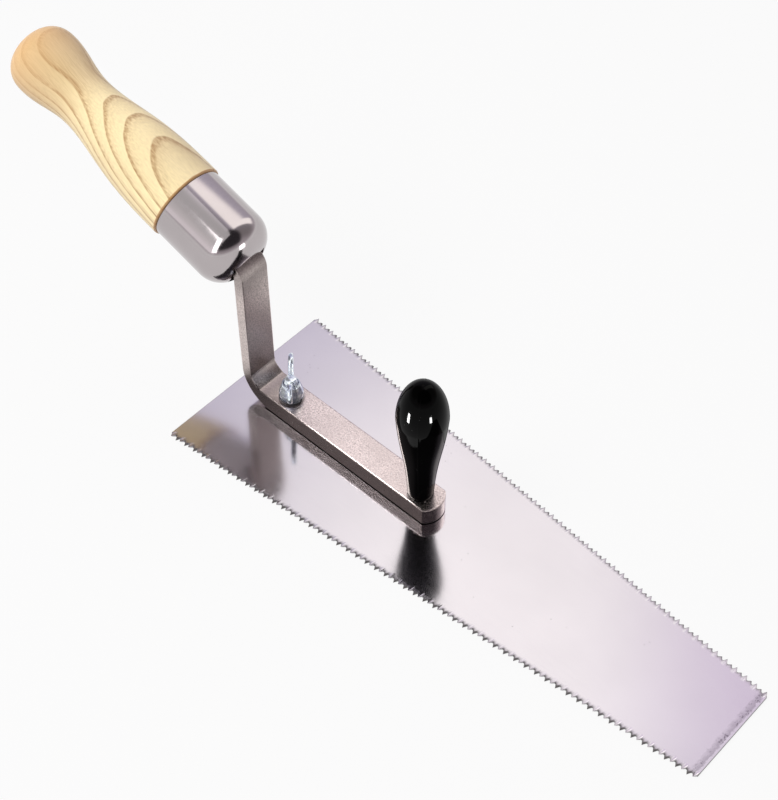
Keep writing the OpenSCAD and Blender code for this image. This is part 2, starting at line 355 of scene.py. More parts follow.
def quad_faces(rows, columns, wrap_rows=False):
    """Corner numbers of a grid's quads. The columns close into a ring, and the rows too if asked."""
    corner = np.arange(rows * columns).reshape(rows, columns)
    if wrap_rows:
        corner = np.vstack([corner, corner[:1]])
    beside = np.roll(corner, -1, axis=1)
    return np.stack([corner[:-1], beside[:-1], beside[1:], corner[1:]], axis=-1).reshape(-1, 4)


def ring_faces(first, second):
    """Quads between two closed rings of corner numbers."""
    return np.stack([first, np.roll(first, -1), np.roll(second, -1), second], axis=1)


def turned(radius, height, angles):
    """Turned surface: row i and angle a give (r cos a, r sin a, h), with r and h for each row or point."""
    shape = (len(radius), len(angles))
    radius = np.broadcast_to(np.asarray(radius, float).reshape(len(radius), -1), shape)
    height = np.broadcast_to(np.asarray(height, float).reshape(len(height), -1), shape)
    return np.stack([radius * np.cos(angles), radius * np.sin(angles), height], axis=-1)


def even_angles(count):
    """Angles spread evenly over a turn."""
    return np.arange(count) * TURN / count


def circle_points(centre, radius, angles):
    """Points of a circle in a plane at some angles: centre + radius (cos a, sin a)."""
    return np.asarray(centre) + radius * np.stack([np.cos(angles), np.sin(angles)], axis=1)


def arc_points(centre, radius, start, end, count):
    """Points of an arc between two angles in degrees."""
    return circle_points(centre, radius, np.radians(np.linspace(start, end, count)))


def stacked(*parts):
    """One long row of values from numbers and arrays."""
    return np.concatenate([np.atleast_1d(np.asarray(part, float)) for part in parts])


def box_reach(angles, low, high, side):
    """Distance from the axis to a box's wall at each angle: the nearer of the walls across and along."""
    across = np.where(np.cos(angles) > 0, high, low) / np.maximum(np.abs(np.cos(angles)), TINY)
    along = side / np.maximum(np.abs(np.sin(angles)), TINY)
    return np.minimum(across, along)


def box_angles(count, low, high, side):
    """Evenly spread angles, of which the nearest to each corner of a box is moved onto it."""
    angles = even_angles(count)
    for x, y in ((high, side), (high, -side), (-low, side), (-low, -side)):
        corner = math.atan2(y, x) % TURN
        angles[np.argmin(np.abs(angles - corner))] = corner
    return angles


def edge_loop(steps):
    """A rounded rectangle's loop, from the +v side over the +u side and round.

    Gives the side of each point in u and v and its insets from them, in corner radii: 1 - sin and 1 - cos of
    the corner's angle, with one more point on either flat so that the flats shade flat."""
    angle = np.linspace(0, QUARTER, steps)
    u_in = stacked(1 + FLAT_SHARE, 1 - np.sin(angle), 0)
    v_in = stacked(0, 1 - np.cos(angle), 1 + FLAT_SHARE)
    u_inset, v_inset = (np.concatenate([inset, inset[::-1]] * 2) for inset in (u_in, v_in))
    u_side = np.repeat([1, 1, -1, -1], len(u_in))
    v_side = np.repeat([1, -1, -1, 1], len(v_in))
    return u_side, v_side, u_inset, v_inset


def linked(name, data):
    """A new object in the scene."""
    made = bpy.data.objects.new(name, data)
    bpy.context.scene.collection.objects.link(made)
    return made


def new_piece(name, points, faces, sharp=35, worn=None):
    """Puts points and faces into a mesh, closes its seams and poles, turns it outwards and shades it.

    The last, optional argument gives a value for each point, which the finish can read."""
    mesh = bpy.data.meshes.new(name)
    mesh.from_pydata(np.asarray(points).reshape(-1, 3).tolist(), [], [list(map(int, face)) for face in faces])
    if worn is not None:
        mesh.attributes.new(WORN_AND_SHADED, "FLOAT", "POINT").data.foreach_set("value", worn.astype(np.float32))
    work = bmesh.new()
    work.from_mesh(mesh)
    bmesh.ops.remove_doubles(work, verts=work.verts, dist=MERGE_DISTANCE)
    bmesh.ops.dissolve_degenerate(work, edges=work.edges, dist=MERGE_DISTANCE)
    bmesh.ops.recalc_face_normals(work, faces=work.faces)
    work.to_mesh(mesh)
    work.free()
    shade(mesh, sharp)
    return linked(name, mesh)


def shade(mesh, sharp):
    """Smooth shading with crisp edges where faces meet at more than the sharp angle, in degrees."""
    mesh.shade_smooth()
    mesh.set_sharp_from_angle(angle=math.radians(sharp))


def dress(piece, material, body, node, slot):
    """Gives a piece its finish, lets it stand for a solid of the frame and shows it to its own lamps."""
    piece.data.materials.append(material)
    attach(piece, body)
    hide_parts(node)
    for finish, slots in LAMP_SLOTS.items():
        if slot in slots and finish in bpy.data.collections:
            bpy.data.collections[finish].objects.link(piece)


def arm_back(sizes):
    """Place of the upright's back face along the blade."""
    return blade_low.x + sizes.heel_setback


def handle_frame(sizes):
    """Rim of the ferrule and the directions up, aside and towards the butt."""
    angle = QUARTER - sizes.grip_pitch
    up = np.array([math.cos(angle), 0, math.sin(angle)])
    axis = np.array([-math.sin(angle), 0, math.cos(angle)])
    bend = np.array([arm_back(sizes) - sizes.neck_radius, 0, blade_high.z + sizes.upright_height])
    neck = bend + (sizes.neck_radius + sizes.bar_thickness / 2) * up
    return neck + (sizes.ferrule_length - sizes.dome_reach) * axis, np.stack([up, [0, 1, 0], axis])


def on_handle(points, sizes):
    """Moves points from the handle's own frame into the saw's."""
    rim, basis = handle_frame(sizes)
    return points @ basis + rim


def feed(node, inputs):
    """Sets a node's sockets to values or links them to other nodes' outputs."""
    for key, value in dict(inputs).items():
        if isinstance(value, bpy.types.NodeSocket):
            node.id_data.links.new(value, node.inputs[key])
        else:
            node.inputs[key].default_value = value
    return node


def add(tree, kind, inputs=(), **settings):
    """Adds a shader node to a tree. Inputs maps a socket to a value or to another node's output."""
    node = tree.nodes.new("ShaderNode" + kind)
    for key, value in settings.items():
        setattr(node, key, value)
    return feed(node, inputs)


def maths(operation, *values):
    """One step of arithmetic on values and outputs, in the tree of the first output."""
    tree = next(value.id_data for value in values if isinstance(value, bpy.types.NodeSocket))
    return add(tree, "Math", dict(enumerate(values)), operation=operation).outputs[0]


def times(first, second):
    """Product of two values or outputs."""
    return maths("MULTIPLY", first, second)


def plus(first, second):
    """Sum of two values or outputs."""
    return maths("ADD", first, second)


def spread(value, source, target=(0, 1), **settings):
    """Takes a range of values onto another, with both ends held."""
    inputs = dict(enumerate((value, *source, *target)))
    return add(value.id_data, "MapRange", inputs, **settings).outputs[0]


def mixed(share, first, second):
    """Mix of two colours by a share. A colour is an output or three numbers."""
    first, second = (
        colour if isinstance(colour, bpy.types.NodeSocket) else (*colour[:3], 1) for colour in (first, second)
    )
    return add(share.id_data, "Mix", {0: share, 6: first, 7: second}, data_type="RGBA").outputs[2]


def ramp(value, stops):
    """Colour ramp from (position, linear colour) stops."""
    node = add(value.id_data, "ValToRGB", {0: value})
    elements = node.color_ramp.elements
    while len(elements) < len(stops):
        elements.new(1)
    for element, (position, colour) in zip(elements, stops):
        element.position = position
        element.color = (*colour, 1)
    return node.outputs["Color"]


def axes(vector):
    """The three parts of a vector."""
    return add(vector.id_data, "SeparateXYZ", {0: vector}).outputs


def stretched(vector, scale):
    """A vector with its parts scaled."""
    return add(vector.id_data, "Mapping", {"Vector": vector, "Scale": scale}).outputs[0]


def noise(vector, scale, detail, roughness=0.5):
    """Soft noise over a vector."""
    inputs = {"Vector": vector, "Scale": scale, "Detail": detail, "Roughness": roughness}
    return add(vector.id_data, "TexNoise", inputs).outputs[0]


def bumped(height, strength, distance):
    """Normal from a height."""
    inputs = {"Height": height, "Strength": strength, "Distance": distance}
    return add(height.id_data, "Bump", inputs).outputs[0]


def scaled(colour, factor, most=1.0):
    """A colour made lighter or darker, and no lighter than most."""
    return tuple(min(most, channel * factor) for channel in colour)


def toned(value, source, colour, dark, light):
    """A colour that goes from a darker to a lighter tone as a value crosses a range."""
    return mixed(spread(value, source), scaled(colour, dark), scaled(colour, light))


def grouped(name, vector, values, fill):
    """Places a shared node group in a material and returns its outputs.

    The group is built once, by fill, with a vector and a number for each of the values as its inputs."""
    group = bpy.data.node_groups.get(name)
    if group is None:
        group = bpy.data.node_groups.new(name, "ShaderNodeTree")
        group.interface.new_socket("Vector", in_out="INPUT", socket_type="NodeSocketVector")
        for key in values:
            group.interface.new_socket(key, in_out="INPUT", socket_type="NodeSocketFloat")
        results = fill(group.nodes.new("NodeGroupInput").outputs)
        for key in results:
            group.interface.new_socket(key, in_out="OUTPUT", socket_type="NodeSocketFloat")
        feed(group.nodes.new("NodeGroupOutput"), results)
    return add(vector.id_data, "Group", {"Vector": vector, **values}, node_tree=group).outputs


def hairlines(vector, scale, drift):
    """Fine lines along the vector's X, which are a stretched noise, and a slow drift over them."""

    def fill(entry):
        along = stretched(entry["Vector"], (1 / LINE_STRETCH, 1, 1))
        return {"Lines": noise(along, entry["Scale"], 4), "Drift": noise(entry["Vector"], entry["Drift"], 3)}

    return grouped("hairlines", vector, {"Scale": scale, "Drift": drift}, fill)


def specks(vector, scale, size, patches, rarity):
    """Scattered small spots: the middles of Voronoi cells, where a coarse noise lets them show."""

    def fill(entry):
        inputs = {"Vector": entry["Vector"], "Scale": entry["Scale"]}
        cells = add(entry["Vector"].id_data, "TexVoronoi", inputs).outputs["Distance"]
        shown = maths("GREATER_THAN", noise(entry["Vector"], entry["Patches"], 2), entry["Rarity"])
        return {"Specks": times(maths("LESS_THAN", cells, entry["Size"]), shown)}

    values = {"Scale": scale, "Size": size, "Patches": patches, "Rarity": rarity}
    return grouped("specks", vector, values, fill)["Specks"]


def empty_tree(owner):
    """Turns on the nodes of a material or a world and empties its tree."""
    owner.use_nodes = True
    owner.node_tree.nodes.clear()
    return owner.node_tree


def new_material(name):
    """A material that holds only its shader, and the piece's own coordinates in it."""
    material = bpy.data.materials.new(name)
    tree = empty_tree(material)
    shader = add(tree, "BsdfPrincipled")
    add(tree, "OutputMaterial", {0: shader.outputs[0]})
    return material, add(tree, "TexCoord").outputs["Object"]


def finished(material, **sockets):
    """Sets or links the sockets of a material's shader by name, with _ for a space."""
    shader = material.node_tree.nodes["Principled BSDF"]
    feed(shader, {key.replace("_", " "): value for key, value in sockets.items()})
    return material


def blade_finish(finishes):
    """Satin steel, brushed lengthwise, with a scuffed strip and grime at the narrow end, and file-cut teeth
    and cut ends that are rougher and darkened by painted shade.
    """
    material, place = new_material("satin_steel")
    lines = hairlines(place, scale=5200, drift=14)
    colour = toned(lines["Drift"], NOISE_RANGE, finishes.blade, 0.95, 1.04)
    ragged = spread(noise(place, scale=500, detail=4), (0.2, 0.8), (-0.9 * MM, 0.9 * MM))
    inward = plus(maths("SUBTRACT", blade_high.x, axes(place)[0]), ragged)
    strip = spread(inward, (1.0 * MM, 1.6 * MM), (1, 0))
    border = times(spread(inward, (1.8 * MM, 4.2 * MM), (1, 0)), spread(inward, (0.9 * MM, 1.5 * MM)))
    grime = specks(place, scale=1100, size=0.5, patches=320, rarity=0.5)
    stains = specks(place, scale=420, size=0.12, patches=60, rarity=0.62)
    # Painted shade and painted dark reflection on the tips and cut ends, which are also rougher
    filed = maths("POWER", add(material.node_tree, "Attribute", attribute_name=WORN_AND_SHADED).outputs["Fac"], 2.5)
    colour = mixed(times(strip, 0.25), colour, SCUFFED)
    colour = mixed(times(border, spread(grime, (0, 1), (0.45, 0.95))), colour, GRIMY)
    colour = mixed(times(stains, 0.4), colour, STAINED)
    colour = mixed(filed, colour, finishes.filed)
    rough = plus(spread(lines["Lines"], NOISE_RANGE, (0.10, 0.15)), times(filed, 0.22))
    return finished(
        material, Metallic=1, Base_Color=colour, Roughness=rough,
        Normal=bumped(lines["Lines"], 0.06, 0.02 * MM),
    )


def arm_finish(finishes, sizes):
    """Blasted casting: fine grain in colour and height, bright crystals, painted shade inside the lower bend
    and over the top bend, a rougher skin above the foot.
    """
    material, place = new_material("blasted_casting")
    grain = noise(place, scale=1500, detail=3, roughness=0.6)
    drift = noise(place, scale=70, detail=4)
    tones = ((0.32, 0.52), (0.50, 1), (0.68, 1.35))
    colour = ramp(grain, [(position, scaled(finishes.arm, tone)) for position, tone in tones])
    colour = mixed(spread(drift, NOISE_CORE, (0, 0.45)), colour, scaled(finishes.arm, 0.8))
    glint = specks(place, scale=1200, size=0.27, patches=300, rarity=0.52)
    colour = mixed(times(glint, 0.5), colour, CRYSTAL)
    along, _, height = axes(place)
    floor = blade_high.z
    foot_top = floor + sizes.foot_thickness
    front = arm_back(sizes) + sizes.bar_thickness
    # Painted shade: darker in the corner of the lower bend and over the top bend
    fold = spread(along, (front + FOLD_SHADE_AND_DULL / 3, front + FOLD_SHADE_AND_DULL), (1, 0))
    neck = spread(height, (floor + 0.8 * sizes.upright_height, floor + sizes.upright_height))
    upright = spread(height, (foot_top, floor + FOLD_SHADE_AND_DULL), (1, 0))
    fold_and_neck_shade = maths("MAXIMUM", times(fold, upright), neck)
    colour = mixed(times(fold_and_neck_shade, spread(drift, NOISE_RANGE, (0.6, 0.95))), colour, scaled(finishes.arm, 0.40))
    # Painted shade in a thin dark line along the foot's lower edge, where it stands on the blade; the line is
    # rougher too
    seam = spread(height, (floor + 0.55 * MM, floor + 0.75 * MM), (1, 0))
    colour = mixed(seam, colour, SEAM_SHADE)
    rough = plus(spread(grain, NOISE_RANGE, (0.30, 0.18)), times(seam, 0.4))
    rough = plus(rough, spread(height, (foot_top, foot_top + FOLD_SHADE_AND_DULL / 3), (0, 0.14)))
    return finished(
        material, Metallic=1, Base_Color=colour, Roughness=rough, Normal=bumped(grain, 0.20, 0.10 * MM)
    )


def handle_place(place, sizes):
    """The piece's coordinates turned into the handle's frame: up, aside and towards the butt."""
    rim, _ = handle_frame(sizes)
    inputs = {"Vector": place, "Location": tuple(rim), "Rotation": (0, sizes.grip_pitch - QUARTER, 0)}
    return add(place.id_data, "Mapping", inputs, vector_type="TEXTURE").outputs[0]


def ferrule_finish(finishes, sizes):
    """Polished metal with faint buffing lines round the axis."""
    material, place = new_material("buffed_metal")
    up, aside, back = axes(handle_place(place, sizes))
    around = times(maths("ARCTAN2", aside, up), BUFFING_RADIUS)
    wrapped = add(material.node_tree, "CombineXYZ", {0: around, 1: back}).outputs[0]
    lines = hairlines(wrapped, scale=2600, drift=60)
    return finished(
        material, Metallic=1, Base_Color=toned(lines["Drift"], NOISE_RANGE, finishes.ferrule, 0.94, 1),
        Roughness=spread(lines["Lines"], NOISE_RANGE, (0.09, 0.16)),
        Normal=bumped(lines["Lines"], 0.03, 0.02 * MM),
    )


def wood_finish(finishes, sizes):
    """Lacquered ash: growth rings about a far pith, pores along the grain, darker end grain and rim."""
    material, place = new_material("lacquered_ash")
    local = handle_place(place, sizes)
    inputs = {"Vector": local, "Location": (PITH_DISTANCE, 0, 0), "Rotation": (0, GRAIN_TILT, -GRAIN_TURN)}
    billet = add(material.node_tree, "Mapping", inputs).outputs[0]
    sway = noise(stretched(billet, (1, 1, 0.3)), scale=45, detail=2)
    fibre = noise(stretched(billet, (1, 1, 0.025)), scale=2400, detail=3, roughness=0.65)
    drift = noise(local, scale=18, detail=2)
    x, y, _ = axes(billet)
    reach = plus(maths("SQRT", plus(times(x, x), times(y, y))), times(sway, GRAIN_SWAY))
    phase = maths("FRACT", maths("DIVIDE", reach, RING_SPACING))
    ring = ramp(phase, [(position, (level, level, level)) for position, level in RING_PROFILE])
    porous = times(ring, spread(fibre, (0.35, 0.62), (0.35, 1)))
    pale = toned(drift, NOISE_CORE, finishes.sapwood, 0.90, 1.06)
    pale = mixed(spread(fibre, (0.40, 0.72), (0, 0.45)), pale, scaled(finishes.sapwood, 0.66))
    along = axes(local)[2]
    length = sizes.grip_length
    fade = spread(along, (0.65 * length, 0.9 * length), (0.92, 0.40))
    tan = spread(along, (0.55 * length, length), (0, 0.66))
    rim = maths("LESS_THAN", along, 0.85 * MM)
    colour = mixed(times(porous, fade), pale, finishes.ringwood)
    colour = mixed(tan, colour, scaled(finishes.ringwood, 1.6))
    colour = mixed(times(rim, 0.8), colour, scaled(finishes.ringwood, 1.4))
    return finished(
        material, Base_Color=colour, Roughness=spread(fibre, NOISE_RANGE, (0.42, 0.55)),
        Coat_Weight=0.24, Coat_Roughness=0.22, Normal=bumped(times(porous, fibre), 0.18, 0.08 * MM),
    )


def knob_finish(finishes):
    """Gloss black moulding with the faintest flow and dust, whose gloss fades towards its limb."""
    material, place = new_material("gloss_black")
    drift = hairlines(place, scale=500, drift=45)["Drift"]
    dust = specks(place, scale=380, size=0.07, patches=80, rarity=0.56)
    limb = add(material.node_tree, "LayerWeight").outputs["Facing"]
    return finished(
        material, Base_Color=mixed(times(dust, 0.1), finishes.knob, DUST),
        Roughness=spread(drift, NOISE_RANGE, (0.03, 0.075)),
        Specular_IOR_Level=spread(limb, (0.66, 0.88), (0.055, 0)), Normal=bumped(drift, 0.04, 0.4 * MM),
    )


def plated_finish(name, colour, rough, metallic=1, patches=180, dark=0.88, light=1.05):
    """Plated or machined metal: patches of tone, from dark to light, and fine grain in the roughness."""
    material, place = new_material(name)
    lines = hairlines(place, scale=2400, drift=patches)
    return finished(
        material, Metallic=metallic, Base_Color=toned(lines["Drift"], (0.36, 0.64), colour, dark, light),
        Roughness=spread(lines["Lines"], NOISE_RANGE, (rough, rough + 0.08)),
        Normal=bumped(lines["Drift"], 0.05, 0.2 * MM),
    )


def zinc_finish(finishes):
    """Bright zinc plate, made once for the studs and the nut."""
    made = bpy.data.materials.get("bright_zinc")
    return made or plated_finish("bright_zinc", finishes.zinc, 0.09, 0.8, patches=420, dark=0.55, light=1.25)


def tooth_stations(sizes):
    """Places along a long edge from rear to front, with how deep each lies and which way its tooth is set.

    A tooth has four stations: the gullet, its round shoulder, the tip and the next shoulder. Depth is 1 in
    the gullet and 0 at the tip, and the set alternates from tooth to tooth."""
    count = sizes.tooth_count
    tooth = np.repeat(np.arange(count), len(TOOTH_PLACES))
    share = (tooth + np.tile(TOOTH_PLACES, count)) / count
    side = np.where(tooth % 2 == 0, 1.0, -1.0)
    return stacked(share, 1), stacked(np.tile(TOOTH_DEPTHS, count), 1), stacked(side, 1)


def blade_grid(sizes):
    """Cross-sections of the blade at its teeth's stations, as rows of points, and each row's set.

    The columns run over the top from the near teeth to the far ones and back along the sole: tooth, body and
    edge of the strip with the holes, and the same in turn."""
    share, depth, side = tooth_stations(sizes)
    x = blade_low.x + share * (blade_high.x - blade_low.x)
    half = blade_high.y + (sizes.blade_front_width / 2 - blade_high.y) * share
    edge = half - depth * sizes.tooth_depth
    body = half - 2 * sizes.tooth_depth
    band = np.full_like(x, HOLE_BAND)
    # Teeth are bevelled with a file by turns from below, and set up a little, and from above, so that their
    # tips lie low
    drawn = edge - (1 - depth) * sizes.tooth_bevel
    upper = np.where(side > 0, edge, drawn)
    lower = np.where(side > 0, drawn, edge)
    lift = (1 - depth) * np.where(side > 0, sizes.tooth_set, 0)
    flat = np.zeros_like(x)
    sole = np.stack([lift, flat, flat, flat, flat, lift], axis=1)
    top = sole + blade_high.z - blade_low.z
    y = np.stack([-upper, -body, -band, band, body, upper, lower, body, band, -band, -body, -lower], axis=1)
    z = np.concatenate([top, sole], axis=1)
    return np.stack([np.broadcast_to(x[:, None], y.shape), y, z], axis=-1), side


class SAW_OT_blade(bpy.types.Operator):
    """Builds the flat blade with its set teeth and the two holes for the studs"""

    bl_idname = "saw.blade"
    bl_label = "Saw blade"

    def execute(self, context):
        sizes = context.scene.saw_sizes
        grid, side = blade_grid(sizes)
        rows, columns = grid.shape[:2]
        x = grid[:, 0, 0]
        points = grid.reshape(-1, 3)
        corner = np.arange(rows * columns).reshape(rows, columns)
        keep = np.ones((rows - 1, columns), bool)
        radius = sizes.stud_head / 2 + HOLE_ROOM
        walls = []
        for stud_low, stud_high in STUD_BOXES.values():
            centre = (stud_low.x + stud_high.x) / 2
            first, last = np.searchsorted(x, [centre - HOLE_BAND, centre + HOLE_BAND])
            rings = []
            for near, far in HOLE_COLUMNS:
                keep[first:last, min(near, far)] = False
                rim = np.concatenate([corner[first:last + 1, near], corner[first:last + 1, far][::-1]])
                spot = points[rim]
                angle = np.arctan2(spot[:, 1], spot[:, 0] - centre)
                ring = np.column_stack([circle_points((centre, 0), radius, angle), spot[:, 2]])
                rings.append(len(points) + np.arange(len(rim)))
                points = np.concatenate([points, ring])
                walls.append(ring_faces(rim, rings[-1]))
            walls.append(ring_faces(*rings))
        quads = quad_faces(rows, columns).reshape(rows - 1, columns, 4)[keep]
        faces = np.concatenate([quads, *walls]).tolist() + [corner[0].tolist(), corner[-1].tolist()]
        # The cut outline is marked: tips, ground gullets and both sheared ends, rougher from wear and darker
        # by painted shade and painted dark reflection
        worn = np.zeros((rows, columns))
        worn[:, TOOTH_COLUMNS] = np.where(side > 0, SET_TOOTH_WORN_AND_SHADED, 1)[:, None]
        worn[[0, -1]] = 1
        worn = stacked(worn.ravel(), np.zeros(len(points) - rows * columns))
        piece = new_piece("toothed_blade", points, faces, sharp=0, worn=worn)
        dress(piece, blade_finish(context.scene.saw_finishes), SAW_BODY, "saw_blade", "blade_steel")
        return {"FINISHED"}


def nose_turn(sizes):
    """Centre of the nose's circle along the blade, and the angles of its rows up to the sides of the bar."""
    centre = arm_back(sizes) + sizes.foot_length - sizes.nose_radius
    return centre, np.linspace(0, math.asin(sizes.arm_width / 2 / sizes.nose_radius), NOSE_ROWS)


def arm_lines(sizes):
    """Lower and upper line of the bar, in X and Z, from the nose over both bends to the tang's end."""
    floor = blade_high.z
    top = floor + sizes.foot_thickness
    back = arm_back(sizes)
    front = back + sizes.bar_thickness
    heel = (back + sizes.heel_radius, floor + sizes.heel_radius)
    bend = (back - sizes.neck_radius, floor + sizes.upright_height)
    pitch = QUARTER - sizes.grip_pitch
    along = np.array([-math.sin(pitch), math.cos(pitch)])
    lift = np.array([math.cos(pitch), math.sin(pitch)])
    centre, theta = nose_turn(sizes)
    nose = centre + sizes.nose_radius * np.cos(theta)
    fold = sizes.fold_size
    # The fillet is flatter than a quarter circle, so that it meets the upright in a crease
    share = np.linspace(0, 1, BEND_ROWS)[:, None]
    start, end = np.array([front + fold, top]), np.array([front, top + fold])
    fillet = start + (end - start) * share - FILLET_SAG * fold * 4 * share * (1 - share) / math.sqrt(2)
    crease = np.linspace(0, 1, CREASE_ROWS)
    bead = end + np.stack([CREASE_RISE * np.sin(math.pi * crease), CREASE_WIDTH * crease], axis=1)
    neck_back, neck_front = (
        arc_points(bend, radius, 0, math.degrees(pitch), NECK_ROWS)
        for radius in (sizes.neck_radius, sizes.neck_radius + sizes.bar_thickness)
    )
    low = np.concatenate([
        np.stack([nose, np.full(NOSE_ROWS, floor)], axis=1),
        np.linspace((nose[-1], floor), (heel[0], floor), FOOT_ROWS)[1:],
        arc_points(heel, sizes.heel_radius, 270, 180, BEND_ROWS)[1:],
        np.linspace((back, heel[1]), neck_back[0], CREASE_ROWS + FOOT_ROWS)[1:],
        neck_back[1:],
        [neck_back[-1] + sizes.shoulder_length * along],
    ])
    high = np.concatenate([
        np.stack([nose, np.full(NOSE_ROWS, top)], axis=1),
        np.linspace((nose[-1], top), start, FOOT_ROWS)[1:],
        fillet[1:],
        bead[1:],
        np.linspace(bead[-1], neck_front[0], FOOT_ROWS + 1)[1:],
        neck_front[1:],
        [neck_front[-1] + sizes.shoulder_length * along],
    ])
    # The tang is a thinner, narrower bar on the grip's axis, with a tapered end
    places = np.array([0, sizes.tang_length - TANG_POINT, sizes.tang_length])[:, None]
    tang = (low[-1] + high[-1]) / 2 + along * places
    half = lift * sizes.tang_thickness / 2 * np.array(TANG_TAPER)[:, None]
    return np.concatenate([low, tang - half]), np.concatenate([high, tang + half])


class SAW_OT_arm(bpy.types.Operator):
    """Builds the cranked bar: a rounded rectangle carried from the nose over both bends into the tang"""

    bl_idname = "saw.arm"
    bl_label = "Cranked arm"

    def execute(self, context):
        sizes = context.scene.saw_sizes
        low, high = arm_lines(sizes)
        width = np.full((len(low), 1), sizes.arm_width / 2)
        width[-len(TANG_TAPER):, 0] = sizes.tang_width / 2 * np.array(TANG_TAPER)
        reach = (high - low) / 2
        thick = np.linalg.norm(reach, axis=1, keepdims=True)
        u_side, v_side, u_inset, v_inset = edge_loop(EDGE_STEPS)
        edge = np.where(u_side > 0, sizes.arm_edge, sizes.sole_edge)
        u = u_side * (1 - edge * u_inset / thick)
        plane = ((low + high) / 2)[:, None] + reach[:, None] * u[..., None]
        y = v_side * (width - edge * v_inset)
        # Round the nose, each edge line follows its own circle about the nose's centre
        centre, theta = nose_turn(sizes)
        circle = sizes.nose_radius - edge * v_inset
        plane[:NOSE_ROWS, :, 0] = centre + circle * np.cos(theta)[:, None]
        y[:NOSE_ROWS] = v_side * circle * np.sin(theta)[:, None]
        points = np.stack([plane[..., 0], y, plane[..., 1]], axis=-1)
        rows, columns = points.shape[:2]
        faces = quad_faces(rows, columns).tolist()
        faces.append(list(range((rows - 1) * columns, rows * columns)))
        piece = new_piece("cranked_arm", points, faces, sharp=28)
        dress(piece, arm_finish(context.scene.saw_finishes, sizes), SAW_BODY, "arm", "arm_casting")
        return {"FINISHED"}


def dome_height(radius, outside, length, rounding):
    """Height of a cup's closed end at a radius: flat in the middle, then a quarter circle to the wall."""
    past = np.clip(radius - (outside - rounding), 0, rounding)
    return -(length - rounding) - np.sqrt(rounding ** 2 - past ** 2)


class SAW_OT_ferrule(bpy.types.Operator):
    """Builds the ferrule: a domed cup turned about the grip's axis, open at a rectangular slot"""

    bl_idname = "saw.ferrule"
    bl_label = "Ferrule"

    def execute(self, context):
        sizes = context.scene.saw_sizes
        wall = sizes.ferrule_wall
        box = (
            sizes.slot_drop, sizes.bar_thickness / 2 + sizes.slot_gap, sizes.arm_width / 2 + sizes.slot_gap
        )
        angles = box_angles(FERRULE_COLUMNS, *box)
        slot = box_reach(angles, *box)
        outside = sizes.ferrule_diameter / 2
        bore = outside - wall
        share = np.sin(np.linspace(0, QUARTER, DOME_ROWS))[:, None]
        lip = slot + LIP_ROUND
        outer_r = lip + (outside - lip) * share
        outer_h = dome_height(outer_r, outside, sizes.ferrule_length, sizes.dome_radius)
        inner_r = (slot + (bore - slot) * share)[::-1]
        inner_h = dome_height(inner_r, bore, sizes.ferrule_length - wall, sizes.dome_radius - wall)
        one = np.ones_like(angles)
        rim = np.array([[outside, -RIM_ROUND], [outside - RIM_ROUND, 0], [bore, 0]])
        radius = np.concatenate([[slot], outer_r, rim[:, :1] * one, inner_r])
        height = np.concatenate([[outer_h[0] + LIP_ROUND], outer_h, rim[:, 1:] * one, inner_h])
        points = on_handle(turned(radius, height, angles), sizes)
        faces = quad_faces(len(radius), len(angles), wrap_rows=True)
        piece = new_piece("slotted_ferrule", points, faces, sharp=40)
        finish = ferrule_finish(context.scene.saw_finishes, sizes)
        dress(piece, finish, SAW_BODY, "ferrule", "polished_ferrule")
        return {"FINISHED"}


def grip_radius(distance, sizes):
    """Radius of the wood behind the rim: a full swell to the waist, a swell to the butt, a rounded end."""
    front, waist, butt = sizes.shoulder_diameter / 2, sizes.waist_diameter / 2, sizes.butt_diameter / 2
    start = sizes.grip_length - sizes.butt_end
    fore = np.clip(distance / sizes.waist_distance, 0, 1)
    rear = np.clip((distance - sizes.waist_distance) / (start - sizes.waist_distance), 0, 1)
    last = np.clip((distance - start) / sizes.butt_end, 0, 1)
    swell = waist + (front - waist) * (1 + np.cos(math.pi * fore ** GRIP_FULLNESS)) / 2
    tail = waist + (butt - waist) * (1 - np.cos(math.pi * rear)) / 2
    end = butt * (1 - last ** BUTT_SQUARENESS) ** (1 / BUTT_SQUARENESS)
    return np.where(distance < sizes.waist_distance, swell, np.where(distance < start, tail, end))


class SAW_OT_grip(bpy.types.Operator):
    """Builds the turned grip, from the rectangular hole for the tang over the spigot to the butt"""

    bl_idname = "saw.grip"
    bl_label = "Wooden grip"

    def execute(self, context):
        sizes = context.scene.saw_sizes
        box = (sizes.tang_thickness / 2, sizes.tang_thickness / 2, sizes.tang_width / 2)
        angles = box_angles(GRIP_COLUMNS, *box)
        hole = box_reach(angles, *box)
        hole_end = sizes.shoulder_length + sizes.tang_length - (sizes.ferrule_length - sizes.dome_reach)
        spigot = sizes.ferrule_diameter / 2 - sizes.ferrule_wall - SPIGOT_ROOM
        turn = np.linspace(0, QUARTER, RIM_ROWS)
        edge = sizes.rim_round
        edge_r = sizes.shoulder_diameter / 2 - edge + edge * np.sin(turn)
        start = sizes.grip_length - sizes.butt_end
        distance = stacked(
            np.linspace(edge, start, BODY_ROWS)[1:],
            start + sizes.butt_end * np.sin(np.linspace(0, QUARTER, BUTT_ROWS)[1:]),
        )
        outside = stacked(spigot, spigot, edge_r, grip_radius(distance, sizes))
        radius = np.concatenate([[0 * hole], [hole], [hole], outside[:, None] * np.ones_like(angles)])
        front = -sizes.spigot_length
        height = stacked(hole_end, hole_end, front, front, 0, edge - edge * np.cos(turn), distance)
        points = on_handle(turned(radius, height, angles), sizes)
        piece = new_piece("turned_grip", points, quad_faces(len(radius), len(angles)), sharp=50)
        dress(piece, wood_finish(context.scene.saw_finishes, sizes), SAW_BODY, "grip", "ash_wood")
        return {"FINISHED"}


